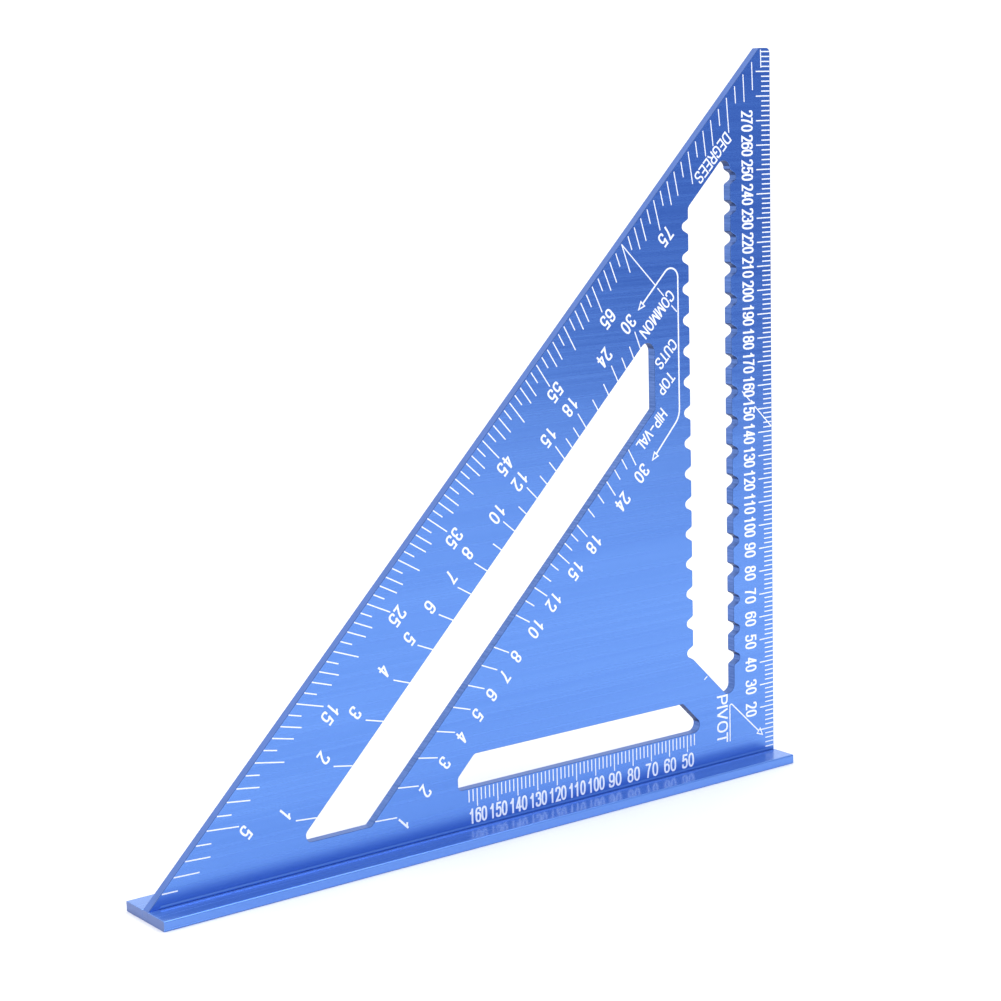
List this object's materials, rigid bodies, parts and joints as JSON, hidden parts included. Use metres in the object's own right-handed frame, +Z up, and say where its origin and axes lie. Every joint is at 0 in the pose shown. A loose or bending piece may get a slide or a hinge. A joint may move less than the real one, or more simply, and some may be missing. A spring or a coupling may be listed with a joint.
{
  "type": "speed square",
  "caption": "Blue anodised aluminium speed square: a 45 degree triangular blade with scribing windows, standing in the groove of a flat fence.",
  "frame": {"origin": "centre of the fence's underside", "axes": "+Z up the blade from the fence, +X along the fence towards the right-angled corner, +Y through the blade's thickness"},
  "size_m": [0.306, 0.0284, 0.3035],
  "materials": {
    "anodised_blade": "fine-brushed blue anodised",
    "anodised_fence": "fine-brushed blue anodised",
    "etched_marks": "matt white etched and filled marks"
  },
  "bodies": {
    "root": {"blade": "anodised_blade", "fence": "anodised_fence"}
  },
  "joints": []
}
